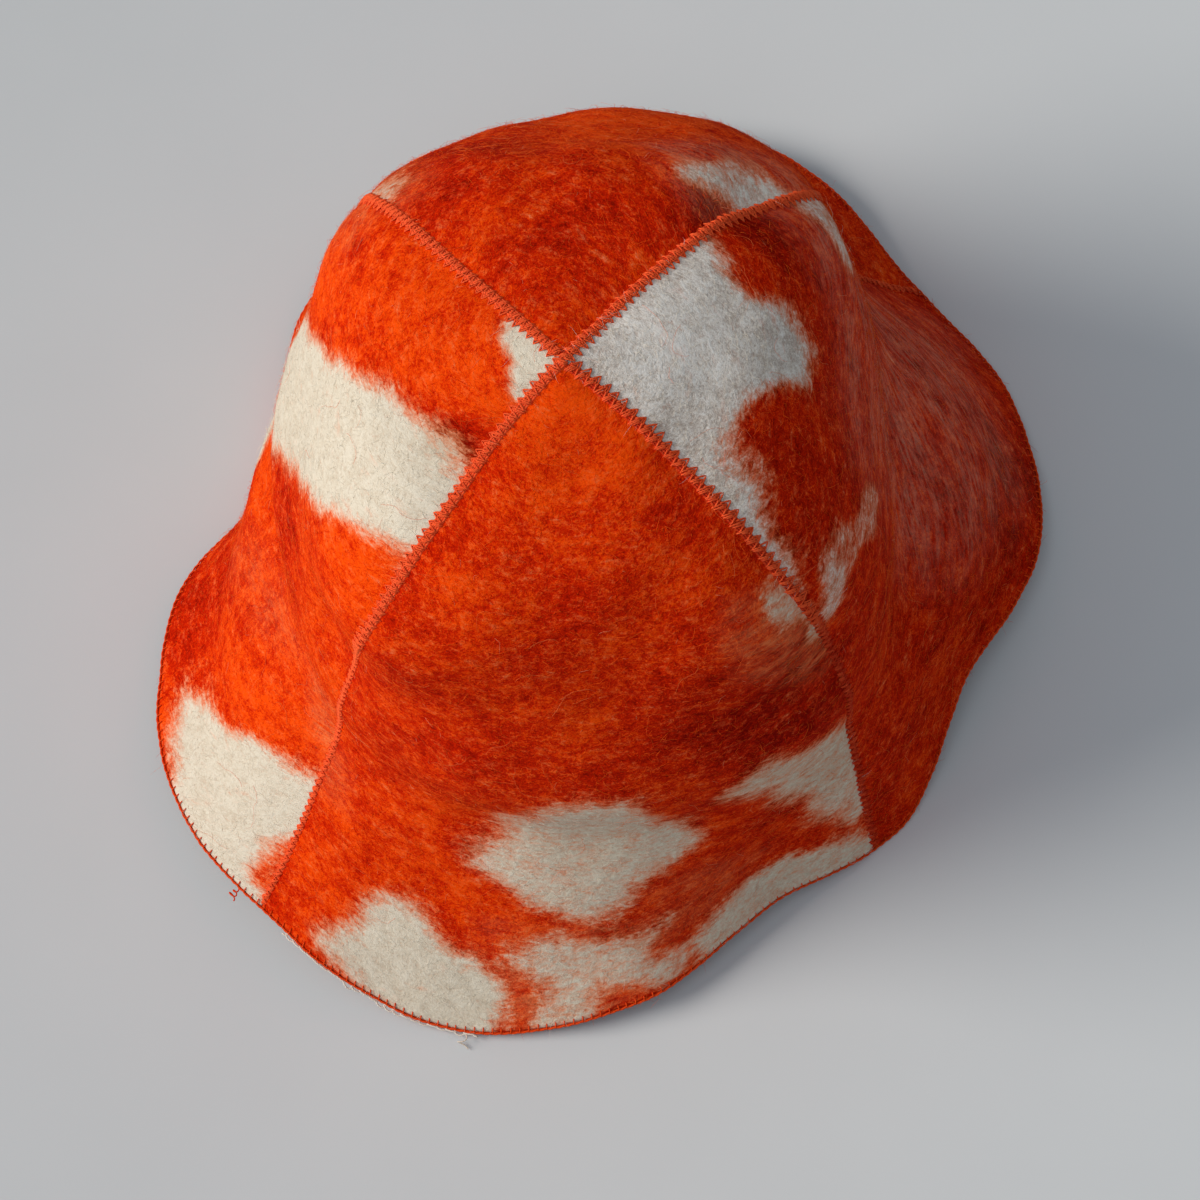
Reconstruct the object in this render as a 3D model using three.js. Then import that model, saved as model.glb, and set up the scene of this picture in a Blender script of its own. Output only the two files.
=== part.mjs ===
import * as THREE from "three";

// Sauna hat of boiled wool felt: four gores, overlocked seams and an overlocked hem.
// Millimetres, +Z up, front panel facing -Y, wearer's hollow open at the bottom.

const feltThickness = 2.8;
const seamGap = 0.3;
const threadGap = 0.35;
const seamWidth = 4.8;
const seamHeight = 1.2;
const edgeThickness = 1.0;
const edgeLevel = 0.984;
const seamEndLevel = 0.98;
const apexRadius = 1.2;
const seamStartRadius = 3.6;
const panelColumns = 14;

// One row per section from the apex down to the hem.
// level: share of the way down, corner: how far the seams stand out, back: shift to the back,
// oval: how much longer than wide.
const sections = [
  { level: 0.0, radius: 0.0, height: 204.0, corner: 0.0, back: -8.0, oval: 0.0 },
  { level: 0.11, radius: 32.5, height: 195.0, corner: 0.0, back: -4.0, oval: 0.02 },
  { level: 0.23, radius: 63.0, height: 182.0, corner: 0.04, back: -1.0, oval: 0.05 },
  { level: 0.34, radius: 82.0, height: 159.0, corner: 0.08, back: -1.0, oval: 0.04 },
  { level: 0.45, radius: 92.0, height: 132.0, corner: 0.04, back: 3.0, oval: 0.08 },
  { level: 0.56, radius: 99.0, height: 103.0, corner: 0.03, back: 2.0, oval: 0.1 },
  { level: 0.68, radius: 102.0, height: 71.0, corner: 0.04, back: 2.0, oval: 0.07 },
  { level: 0.79, radius: 117.0, height: 45.0, corner: 0.0, back: 0.0, oval: 0.0 },
  { level: 0.9, radius: 131.0, height: 23.0, corner: 0.0, back: 0.0, oval: 0.0 },
  { level: 1.0, radius: 146.0, height: 8.5, corner: 0.0, back: 0.0, oval: 0.0 },
];

// One row per wave of the brim, every 22.5 degrees from the back through the left side.
// reach: hem moved outward, lift: hem raised, middle: half-way down the brim moved outward.
const waves = [
  { azimuth: -180.0, reach: 15, lift: 3, middle: 0 },
  { azimuth: -157.5, reach: 5, lift: 0, middle: 0 },
  { azimuth: -135.0, reach: 0, lift: -3, middle: 8 },
  { azimuth: -112.5, reach: -25, lift: -7.6, middle: 10 },
  { azimuth: -90.0, reach: 0, lift: -1, middle: -5 },
  { azimuth: -67.5, reach: 12, lift: 2, middle: 1 },
  { azimuth: -45.0, reach: 10, lift: 6, middle: 3 },
  { azimuth: -22.5, reach: 9, lift: -5.7, middle: 0 },
  { azimuth: 0.0, reach: -6, lift: 0, middle: 0 },
  { azimuth: 22.5, reach: -27, lift: 1, middle: 0 },
  { azimuth: 45.0, reach: -24, lift: -6.8, middle: 1 },
  { azimuth: 67.5, reach: -29, lift: 9, middle: 0 },
  { azimuth: 90.0, reach: -11, lift: 4, middle: 0 },
  { azimuth: 112.5, reach: -3, lift: -5.4, middle: 0 },
  { azimuth: 135.0, reach: -3, lift: -4, middle: 0 },
  { azimuth: 157.5, reach: 14, lift: 3, middle: 0 },
];

// Degrees by which each seam wanders from its diagonal on its way down.
const seams = [
  { name: "seam_back_left", azimuth: -135, crown: -1, shoulder: -4, waist: 6, hem: -2 },
  { name: "seam_front_left", azimuth: -45, crown: 5, shoulder: 2, waist: -5, hem: -3 },
  { name: "seam_front_right", azimuth: 45, crown: -3, shoulder: -2, waist: -2, hem: -5 },
  { name: "seam_back_right", azimuth: 135, crown: -2, shoulder: -4, waist: 8, hem: -2 },
];
const seamLevels = [0, 0.18, 0.35, 0.68, 1];

// Bulges and dents of the soft wall: centre, half widths in degrees and in level, push outward.
const dents = [
  { name: "back_bulge", azimuth: 166, level: 0.47, width: 36, height: 0.2, push: 7 },
  { name: "left_bulge", azimuth: -98, level: 0.62, width: 30, height: 0.15, push: 12 },
  { name: "left_pucker", azimuth: -53, level: 0.48, width: 8, height: 0.06, push: -4 },
  { name: "back_pucker", azimuth: 134, level: 0.26, width: 9, height: 0.06, push: -3 },
];

// Levels of the rows of facets, closer together at the crown's top and at the hem.
const facetLevels = [
  0.03, 0.07, 0.11, 0.15, 0.19, 0.23, 0.27, 0.31, 0.35, 0.39, 0.43, 0.47,
  0.51, 0.56, 0.61, 0.66, 0.71, 0.76, 0.81, 0.86, 0.91, 0.95, edgeLevel, 1.0,
];

const panels = [
  { name: "front", from: 1 },
  { name: "right", from: 2 },
  { name: "back", from: 3 },
  { name: "left", from: 0 },
];

const feltMaterial = new THREE.MeshStandardMaterial({ color: 0xc8400c, roughness: 0.95 });
feltMaterial.name = "felt";
const threadMaterial = new THREE.MeshStandardMaterial({ color: 0xd8432e, roughness: 0.8 });
threadMaterial.name = "thread";

const radians = (degrees) => (degrees * Math.PI) / 180;

// Smooth curve through rows of values at increasing places.
function smooth(place, places, values) {
  const last = places.length - 1;
  let row = 0;
  while (row < last - 1 && place >= places[row + 1]) {
    row += 1;
  }
  const rise = (k) => (values[k + 1] - values[k]) / (places[k + 1] - places[k]);
  const slope = (k) => {
    if (k === 0) {
      return rise(0);
    }
    if (k === last) {
      return rise(last - 1);
    }
    const before = places[k] - places[k - 1];
    const after = places[k + 1] - places[k];
    return (before * rise(k) + after * rise(k - 1)) / (before + after);
  };
  const span = places[row + 1] - places[row];
  const t = (place - places[row]) / span;
  const start = values[row] * (1 + 2 * t) * (1 - t) ** 2 + slope(row) * span * t * (1 - t) ** 2;
  const end = values[row + 1] * t * t * (3 - 2 * t) + slope(row + 1) * span * t * t * (t - 1);
  return start + end;
}

const levels = sections.map((row) => row.level);
const column = (name) => sections.map((row) => row[name]);
const profile = {
  radius: column("radius"),
  height: column("height"),
  corner: column("corner"),
  back: column("back"),
  oval: column("oval"),
};

// Value of the brim's waves round the hat, smooth and closed.
function around(azimuth, name) {
  const count = waves.length;
  const step = 360 / count;
  const place = ((((azimuth + 180) % 360) + 360) % 360) / step;
  const row = Math.floor(place);
  const t = place - row;
  const [a, b, c, d] = [-1, 0, 1, 2].map((k) => waves[(row + k + count) % count][name]);
  return b + 0.5 * t * (c - a + t * (2 * a - 5 * b + 4 * c - d + t * (3 * (b - c) + d - a)));
}

// Degrees by which the cloth is turned at this azimuth, shared between the two seams beside it.
function wander(azimuth, level) {
  const turn = (((azimuth + 135) % 360) + 360) % 360;
  const quarter = Math.floor(turn / 90);
  const share = turn / 90 - quarter;
  const value = (seam) => {
    const values = [0, seam.crown, seam.shoulder, seam.waist, seam.hem];
    return smooth(level, seamLevels, values);
  };
  return value(seams[quarter % 4]) * (1 - share) + value(seams[(quarter + 1) % 4]) * share;
}

// Outer face of the felt.
function outerPoint(azimuth, level) {
  const turned = azimuth + wander(azimuth, level);
  const angle = radians(turned);
  const brim = Math.min(Math.max((level - 0.56) / 0.44, 0), 1);
  const hemShare = brim * brim * (1.6 - 0.6 * brim);
  const middleShare = 4.8 * brim * brim * (1 - brim);
  const corner = smooth(level, levels, profile.corner) * Math.cos(radians(4 * (azimuth - 45)));
  const oval = smooth(level, levels, profile.oval) * Math.cos(2 * angle);
  let radius = smooth(level, levels, profile.radius) * (1 + corner + oval);
  radius += around(turned, "reach") * hemShare + around(turned, "middle") * middleShare;
  for (const dent of dents) {
    const across = ((((turned - dent.azimuth + 180) % 360) + 360) % 360) - 180;
    const away = (across / dent.width) ** 2 + ((level - dent.level) / dent.height) ** 2;
    radius += dent.push * Math.exp(-away);
  }
  const height = smooth(level, levels, profile.height) + around(turned, "lift") * hemShare;
  const back = smooth(level, levels, profile.back);
  return new THREE.Vector3(radius * Math.sin(angle), back - radius * Math.cos(angle), height);
}

// Outward normal, direction along the hem and direction down the wall.
function frameAt(azimuth, level) {
  const low = Math.max(level - 0.004, 0.001);
  const high = Math.min(level + 0.004, 1);
  const along = outerPoint(azimuth + 0.5, level).sub(outerPoint(azimuth - 0.5, level));
  const down = outerPoint(azimuth, high).sub(outerPoint(azimuth, low));
  const normal = new THREE.Vector3().crossVectors(down, along).normalize();
  return { normal, along: along.clone().normalize(), down: down.normalize(), perDegree: along.length() };
}

// Level at which the wall has this distance from the apex.
function levelAtRadius(radius) {
  let low = 0;
  let high = 0.2;
  for (let step = 0; step < 30; step += 1) {
    const middle = (low + high) / 2;
    if (smooth(middle, levels, profile.radius) < radius) {
      low = middle;
    } else {
      high = middle;
    }
  }
  return high;
}

// A point of the wall moved in from the panel's edge by half the seam gap.
function panelPoint(azimuth, level, side, depth) {
  const place = frameAt(azimuth, level);
  const inset = side === 0 ? 0 : (side * seamGap) / 2;
  return outerPoint(azimuth, level)
    .addScaledVector(place.along, inset)
    .addScaledVector(place.normal, -depth);
}

// Closed mesh from rings of points: each ring is joined to the next, and the ends are capped
// or, for a closed loop, joined.
function meshFromRings(name, rings, capStart, capEnd, material) {
  const size = rings[0].length;
  const positions = rings.flat().flatMap((point) => [point.x, point.y, point.z]);
  const index = [];
  for (let ring = 0; ring < rings.length - 1; ring += 1) {
    for (let k = 0; k < size; k += 1) {
      const next = (k + 1) % size;
      const a = ring * size + k;
      const b = ring * size + next;
      const c = a + size;
      const d = b + size;
      index.push(a, c, b, b, c, d);
    }
  }
  index.push(...capStart);
  index.push(...capEnd.map((k) => k + (rings.length - 1) * size));
  const geometry = new THREE.BufferGeometry();
  geometry.setAttribute("position", new THREE.Float32BufferAttribute(positions, 3));
  geometry.setIndex(index);
  geometry.computeVertexNormals();
  const mesh = new THREE.Mesh(geometry, material);
  mesh.name = name;
  return mesh;
}

// Triangles that close a ring whose first half runs along one face and second half comes back.
function ladder(size, turned) {
  const index = [];
  const half = size / 2;
  for (let k = 0; k < half - 1; k += 1) {
    const [a, b] = [k, k + 1];
    const [c, d] = [size - 1 - k, size - 2 - k];
    index.push(...(turned ? [a, c, b, b, c, d] : [a, b, c, b, d, c]));
  }
  return index;
}

const seamAzimuth = (k) => -135 + 90 * k;

// One gore of felt: its rows run across the panel, outer face one way and inner face back.
function makePanel(panel) {
  const start = seamAzimuth(panel.from);
  const rows = [levelAtRadius(apexRadius), ...facetLevels];
  const rings = rows.map((level) => {
    const outer = [];
    const inner = [];
    for (let k = 0; k <= panelColumns; k += 1) {
      const azimuth = start + (90 * k) / panelColumns;
      const side = k === 0 ? 1 : k === panelColumns ? -1 : 0;
      outer.push(panelPoint(azimuth, level, side, 0));
      inner.push(panelPoint(azimuth, level, side, feltThickness));
    }
    return [...outer, ...inner.reverse()];
  });
  const size = rings[0].length;
  return meshFromRings(`gore_${panel.name}`, rings, ladder(size, false), ladder(size, true), feltMaterial);
}

// Raised band of overlock thread down one seam, lying on the outer face of the felt.
function makeSeam(seam) {
  const section = [
    { across: -seamWidth / 3, above: threadGap + seamHeight * 0.85 },
    { across: 0, above: threadGap + seamHeight },
    { across: seamWidth / 3, above: threadGap + seamHeight * 0.85 },
    { across: seamWidth / 2, above: threadGap },
    { across: 0, above: threadGap },
    { across: -seamWidth / 2, above: threadGap },
  ];
  const rows = [levelAtRadius(seamStartRadius), ...facetLevels.filter((level) => level < seamEndLevel)];
  rows.push(seamEndLevel);
  const rings = rows.map((level) => {
    const place = frameAt(seam.azimuth, level);
    return section.map((spot) => {
      const turn = spot.across / place.perDegree;
      const azimuth = level < 0.1 ? seam.azimuth : seam.azimuth + turn;
      const point = outerPoint(azimuth, level);
      if (level < 0.1) {
        point.addScaledVector(place.along, spot.across);
      }
      return point.addScaledVector(frameAt(azimuth, level).normal, spot.above);
    });
  });
  const size = section.length;
  return meshFromRings(seam.name, rings, ladder(size, false), ladder(size, true), threadMaterial);
}

// Overlock thread round the hem of one panel: a band folded over the edge of the felt. Its
// underside is level, and lies flat on the ground wherever the hem comes down to it.
function makeHem(panel) {
  const start = seamAzimuth(panel.from);
  const reach = seamGap + edgeThickness;
  const innerFace = -feltThickness;
  const section = [
    { above: seamGap, level: edgeLevel, below: 0 },
    { above: seamGap, level: 1, below: seamGap, edge: true },
    { above: innerFace / 2, level: 1, below: seamGap, edge: true },
    { above: innerFace - seamGap, level: 1, below: seamGap, edge: true },
    { above: innerFace - seamGap, level: edgeLevel, below: 0 },
    { above: innerFace - reach, level: edgeLevel, below: 0 },
    { above: innerFace - reach, level: 1, below: seamGap, underside: true },
    { above: innerFace / 2, level: 1, below: reach, underside: true },
    { above: reach, level: 1, below: seamGap },
    { above: reach, level: edgeLevel, below: 0 },
  ];
  const rings = [];
  for (let k = 0; k <= panelColumns; k += 1) {
    const azimuth = start + (90 * k) / panelColumns;
    const side = k === 0 ? 1 : k === panelColumns ? -1 : 0;
    const place = frameAt(azimuth, 1);
    const ring = section.map((spot) =>
      panelPoint(azimuth, spot.level, side, -spot.above).addScaledVector(place.down, spot.below),
    );
    const edge = ring.filter((point, row) => section[row].edge);
    const lowest = Math.min(...edge.map((point) => point.z));
    for (const [row, spot] of section.entries()) {
      if (spot.underside) {
        ring[row].z = Math.max(lowest - edgeThickness, 0);
      }
    }
    rings.push(ring);
  }
  const size = section.length;
  return meshFromRings(`hem_${panel.name}`, rings, ladder(size, false), ladder(size, true), threadMaterial);
}

const group = new THREE.Group();
group.name = "sauna_hat";
for (const panel of panels) {
  group.add(makePanel(panel));
}
for (const seam of seams) {
  group.add(makeSeam(seam));
}
for (const panel of panels) {
  group.add(makeHem(panel));
}

// The hat is centred over its own footprint.
const box = new THREE.Box3().setFromObject(group);
const middle = box.getCenter(new THREE.Vector3());
for (const mesh of group.children) {
  mesh.geometry.translate(-middle.x, -middle.y, -box.min.z);
}

export default group;
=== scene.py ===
import math
import bpy
import bmesh
import numpy as np
from mathutils import Matrix, Vector


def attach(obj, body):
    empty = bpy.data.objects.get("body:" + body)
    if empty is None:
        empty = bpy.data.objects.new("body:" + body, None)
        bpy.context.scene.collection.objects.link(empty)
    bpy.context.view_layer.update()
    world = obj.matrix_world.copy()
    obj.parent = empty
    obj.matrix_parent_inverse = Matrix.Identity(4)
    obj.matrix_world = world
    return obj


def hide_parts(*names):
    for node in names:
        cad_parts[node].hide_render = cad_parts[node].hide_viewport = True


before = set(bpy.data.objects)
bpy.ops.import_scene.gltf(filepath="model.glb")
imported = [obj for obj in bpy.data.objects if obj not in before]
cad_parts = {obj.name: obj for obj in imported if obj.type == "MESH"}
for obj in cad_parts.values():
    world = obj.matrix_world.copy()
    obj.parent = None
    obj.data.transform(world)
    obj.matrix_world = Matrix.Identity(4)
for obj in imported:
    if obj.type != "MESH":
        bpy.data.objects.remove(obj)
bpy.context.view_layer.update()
print("frame loaded:", len(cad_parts), "nodes")

scene = bpy.context.scene
mm = 0.001  # lengths below are millimetres, degrees for azimuths: 0 front, 90 right

# the hat's shape, the same tables as the cut
hat = {
    "feltThickness": 2.8,
    "brimStart": 0.56,  # level where the brim begins to spread
    "sectionNames": ("level", "radius", "height", "corner", "back", "oval"),  # level is down from the top
    "sections": [
        (0, 0, 204, 0, -8, 0),
        (0.11, 32.5, 195, 0, -4, 0.02),
        (0.23, 63, 182, 0.04, -1, 0.05),
        (0.34, 82, 159, 0.08, -1, 0.04),
        (0.45, 92, 132, 0.04, 3, 0.08),
        (0.56, 99, 103, 0.03, 2, 0.10),
        (0.68, 102, 71, 0.04, 2, 0.07),
        (0.79, 117, 45, 0, 0, 0),
        (0.90, 131, 23, 0, 0, 0),
        (1, 146, 8.5, 0, 0, 0),
    ],
    # the brim's waves, every 22.5 degrees from the back
    "waveNames": ("reach", "lift", "middle"),
    "waves": [
        (15, 3, 0), (5, 0, 0), (0, -3, 8), (-25, -7.6, 10),
        (0, -1, -5), (12, 2, 1), (10, 6, 3), (9, -5.7, 0),
        (-6, 0, 0), (-27, 1, 0), (-24, -6.8, 1), (-29, 9, 0),
        (-11, 4, 0), (-3, -5.4, 0), (-3, -4, 0), (14, 3, 0),
    ],
    "seamLevels": (0.0, 0.18, 0.35, 0.68, 1.0),
    # degrees by which each seam wanders at those levels
    "seams": {
        "back_left": (-135, (0, -1, -4, 6, -2)),
        "front_left": (-45, (0, 5, 2, -5, -3)),
        "front_right": (45, (0, -3, -2, -2, -5)),
        "back_right": (135, (0, -2, -4, 8, -2)),
    },
    # azimuth, level, degrees wide, levels high, push outwards
    "dents": [
        (166, 0.47, 36, 0.20, 7.0),
        (-98, 0.62, 30, 0.15, 12.0),
        (-53, 0.48, 8, 0.06, -4.0),
        (134, 0.26, 9, 0.06, -3.0),
    ],
    # wavelength and height of the soft lumps in the felt
    "lumps": [(46, 0.40), (29, 0.26), (17, 0.16), (10, 0.08)],
}
sections = np.array(hat["sections"])
waves = np.array(hat["waves"])
seamStarts = np.array([seam[0] for seam in hat["seams"].values()], float)
seamTurns = np.array([seam[1] for seam in hat["seams"].values()], float)


def smooth(at, places, values):
    # a smooth curve through the rows of a table
    places, values = np.asarray(places, float), np.asarray(values, float)
    steps = np.diff(places)
    rises = np.diff(values) / steps
    slopes = np.empty_like(values)
    slopes[1:-1] = (steps[:-1] * rises[1:] + steps[1:] * rises[:-1]) / (steps[:-1] + steps[1:])
    slopes[0], slopes[-1] = rises[0], rises[-1]
    k = np.clip(np.searchsorted(places, at, side="right") - 1, 0, len(places) - 2)
    t, step = (at - places[k]) / steps[k], steps[k]
    return (
        values[k] * (1 + 2 * t) * (1 - t) ** 2
        + slopes[k] * step * t * (1 - t) ** 2
        + values[k + 1] * t * t * (3 - 2 * t)
        + slopes[k + 1] * step * t * t * (t - 1)
    )


def lengthAlong(lines):
    # the length travelled at each point of one line or of many
    steps = np.linalg.norm(np.diff(lines, axis=-2), axis=-1)
    return np.concatenate([np.zeros_like(steps[..., :1]), steps.cumsum(-1)], -1)


def section(level, name):
    return smooth(level, sections[:, 0], sections[:, hat["sectionNames"].index(name)])


def flatWidth(level):
    # a gore is a quarter of the round
    return section(level, "radius") * math.pi / 2


def around(azimuth, name):
    # one column of the waves, smoothly round the whole brim
    column = hat["waveNames"].index(name)
    count = len(waves)
    place = ((azimuth + 180) % 360) / (360 / count)
    k = np.floor(place).astype(int)
    t = place - k
    a, b, c, d = [waves[(k + step) % count, column] for step in (-1, 0, 1, 2)]
    return b + 0.5 * t * (c - a + t * (2 * a - 5 * b + 4 * c - d + t * (3 * (b - c) + d - a)))


def wander(azimuth, level):
    quarter = (azimuth - seamStarts[0]) / 90
    k = np.floor(quarter).astype(int)
    share = quarter - k
    turns = np.array([smooth(level, hat["seamLevels"], row) for row in seamTurns])
    here = np.take_along_axis(turns, (k % 4)[None], 0)[0]
    beside = np.take_along_axis(turns, ((k + 1) % 4)[None], 0)[0]
    return here * (1 - share) + beside * share


def bareSurface(azimuth, level):
    azimuth, level = np.broadcast_arrays(np.asarray(azimuth, float), np.asarray(level, float))
    turned = azimuth + wander(azimuth, level)
    brim = np.clip((level - hat["brimStart"]) / (1 - hat["brimStart"]), 0, 1)
    # how far the waves at the hem and in the middle of the brim reach up
    hemShare = brim * brim * (1.6 - 0.6 * brim)
    middleShare = 4.8 * brim * brim * (1 - brim)
    corner = section(level, "corner") * np.cos(np.radians(4 * (azimuth - 45)))
    oval = section(level, "oval") * np.cos(np.radians(2 * turned))
    radius = section(level, "radius") * (1 + corner + oval)
    radius = radius + around(turned, "reach") * hemShare + around(turned, "middle") * middleShare
    for where, height, wide, high, push in hat["dents"]:
        off = (turned - where + 180) % 360 - 180
        radius = radius + push * np.exp(-((off / wide) ** 2) - ((level - height) / high) ** 2)
    angle = np.radians(turned)
    back = section(level, "back")
    tall = section(level, "height") + around(turned, "lift") * hemShare
    return np.stack([radius * np.sin(angle), back - radius * np.cos(angle), tall], -1)


# the footprint's centre is the origin, as in the frame
hemLine = bareSurface(np.arange(-180, 180, 1.0), 1.0)
centreShift = -(hemLine.min(0) + hemLine.max(0)) / 2
centreShift[2] = 0
print("centre shift", np.round(centreShift, 2))

lumpRandom = np.random.default_rng(11)
lumpWaves = []
for wavelength, height in hat["lumps"]:
    for _ in range(4):
        direction = lumpRandom.normal(size=3)
        direction *= 2 * math.pi / wavelength / np.linalg.norm(direction)
        lumpWaves.append((direction, lumpRandom.uniform(0, 6.28), height / 2))


def felt(azimuth, level, out=0.0):
    # a point of the felt's outer face, its outward normal, and the ways across and down
    across, down = 0.15, 0.002
    at = bareSurface(azimuth, level)
    right = bareSurface(azimuth + across, level) - bareSurface(azimuth - across, level)
    above, below = np.maximum(level - down, 0.0005), level + down
    low = bareSurface(azimuth, below) - bareSurface(azimuth, above)
    low /= np.linalg.norm(low, axis=-1, keepdims=True)
    normal = np.cross(low, right)
    normal /= np.linalg.norm(normal, axis=-1, keepdims=True)
    right = np.cross(normal, low)
    lump = sum(tall * np.sin(at @ wave + phase) for wave, phase, tall in lumpWaves)
    at = at + centreShift + normal * (lump + out)[..., None]
    return at, normal, right, low


# meshes
tableGap = 0.02


def newPiece(name, points, faces, material, soft=True):
    # points in millimetres, faces as arrays of equal corner count
    mesh = bpy.data.meshes.new(name)
    mesh.vertices.add(len(points))
    mesh.vertices.foreach_set("co", (np.asarray(points, float) * mm).ravel())
    corners = np.concatenate([np.asarray(face).ravel() for face in faces]).astype(np.int32)
    totals = np.concatenate([np.full(len(face), np.asarray(face).shape[1]) for face in faces])
    starts = np.concatenate([[0], np.cumsum(totals)[:-1]]).astype(np.int32)
    mesh.loops.add(len(corners))
    mesh.loops.foreach_set("vertex_index", corners)
    mesh.polygons.add(len(totals))
    mesh.polygons.foreach_set("loop_start", starts)
    mesh.polygons.foreach_set("use_smooth", np.full(len(totals), soft))
    mesh.materials.append(material)
    mesh.update(calc_edges=True)
    mesh.validate()
    piece = bpy.data.objects.new(name, mesh)
    scene.collection.objects.link(piece)
    return piece


def addAttribute(piece, name, values, kind="FLOAT"):
    attribute = piece.data.attributes.new(name, kind, "POINT")
    field = "vector" if kind == "FLOAT_VECTOR" else "value"
    attribute.data.foreach_set(field, np.asarray(values, np.float32).ravel())


def ringFaces(rings, sides):
    # faces between rings of points that follow each other
    ring = np.arange(sides)
    after = (ring + 1) % sides
    rows = np.arange(rings - 1)[:, None] * sides
    quads = np.stack([rows + ring, rows + after, rows + sides + after, rows + sides + ring], -1)
    return quads.reshape(-1, 4)


def tubes(paths, radii, outward, sides, tone=0.5):
    # closed tubes along many paths (n, m, 3), each keeping its first corner turned outward
    paths = np.asarray(paths, float)
    count, length = paths.shape[:2]
    radii = np.broadcast_to(radii, (count, length))
    ways = np.gradient(paths, axis=1)
    ways /= np.linalg.norm(ways, axis=2, keepdims=True) + 1e-9
    first = outward - ways * (outward * ways).sum(2, keepdims=True)
    first /= np.linalg.norm(first, axis=2, keepdims=True) + 1e-9
    second = np.cross(ways, first)
    angles = 2 * math.pi * np.arange(sides) / sides
    spots = first[:, :, None] * np.cos(angles)[:, None] + second[:, :, None] * np.sin(angles)[:, None]
    points = paths[:, :, None] + spots * radii[..., None, None]
    ring = np.arange(sides)
    starts = (np.arange(count) * length * sides)[:, None, None]
    quads = (ringFaces(length, sides) + starts).reshape(-1, 4)
    ends = np.stack([ring[::-1], ring + (length - 1) * sides])
    caps = (ends[None] + starts).reshape(-1, sides)
    ply = np.empty(points.shape)
    ply[..., 0] = lengthAlong(paths)[..., None]
    ply[..., 1] = ring / sides
    ply[..., 2] = np.reshape(tone, (-1, 1, 1))
    return points.reshape(-1, 3), quads, caps, ply.reshape(-1, 3)


def joinedPiece(name, parts, material):
    # one piece of many parts, each with its points and two kinds of faces first
    points, faces, base = [], [], 0
    for spots, first, second, *_ in parts:
        points.append(spots)
        faces += [first + base, second + base]
        base += len(spots)
    points = np.concatenate(points)
    points[:, 2] = np.maximum(points[:, 2], tableGap)  # pressed flat where it meets the table
    return newPiece(name, points, faces, material)


def tubePiece(name, parts, material):
    # keeps the ways along and around for the ply, and the tone
    piece = joinedPiece(name, parts, material)
    ply = np.concatenate([part[3] for part in parts])
    addAttribute(piece, "ply", ply * (1, 1, 0), "FLOAT_VECTOR")
    addAttribute(piece, "tone", ply[:, 2])
    return piece


# the blanket pattern, laid out on the flat gores
downTable = np.linspace(0, 1, 400)
downLengths = lengthAlong(np.column_stack([section(downTable, "radius"), section(downTable, "height")]))


def flatPlace(across, level):
    # millimetres on the flat gore: across from its middle line, down from its tip
    return (across - 0.5) * flatWidth(level), np.interp(level, downTable, downLengths)


# depth: painted shade and light over a whole gore, lighter on the left gore, which faces the light,
# darkest on the right one, which lies in shade
gores = {
    # the cool share is painted light: the cool sky light on the cream of the shaded right and back gores,
    # given at a third and four fifths of the way across
    "left": {"start": -135, "napAngle": -24, "seed": 21, "depth": 0.03, "paintedCoolLight": (0.0, 0.0)},
    "front": {"start": -45, "napAngle": -4, "seed": 22, "depth": -0.04, "paintedCoolLight": (0.0, 0.0)},
    "right": {"start": 45, "napAngle": -16, "seed": 23, "depth": -0.08, "paintedCoolLight": (1.0, 1.0)},
    "back": {"start": 135, "napAngle": 24, "seed": 24, "depth": -0.05, "paintedCoolLight": (0.8, 0.0)},
}
# places painted darker or lighter than the rest, mostly painted shade and light: darker in the hollows of
# the puckers, where the wool is also thin and dark, and on parts that lie in shade, lighter where the
# light falls fully: across, level, millimetres wide, tone
shadeAndWoolTints = {
    "left": [(0.85, 0.13, 8, -0.32), (0.60, 0.55, 26, -0.12), (0.50, 0.95, 34, -0.13)],
    "front": [
        (0.50, 0.06, 32, 0.10), (0.88, 0.50, 36, -0.14), (0.12, 0.80, 36, 0.06), (0.97, 0.40, 9, -0.12),
        (0.95, 0.72, 18, -0.12), (0.49, 0.69, 18, -0.08), (0.80, 0.98, 24, -0.06)],
    "right": [
        (0.34, 0.30, 26, -0.03), (0.92, 0.245, 9, -0.14), (0.55, 0.98, 40, -0.05),
        (0.08, 0.12, 11, -0.03), (0.60, 0.10, 18, 0.13)],
    "back": [(0.06, 0.205, 8, -0.26), (0.45, 0.40, 28, 0.15), (0.90, 0.25, 26, -0.04)],
}

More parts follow.
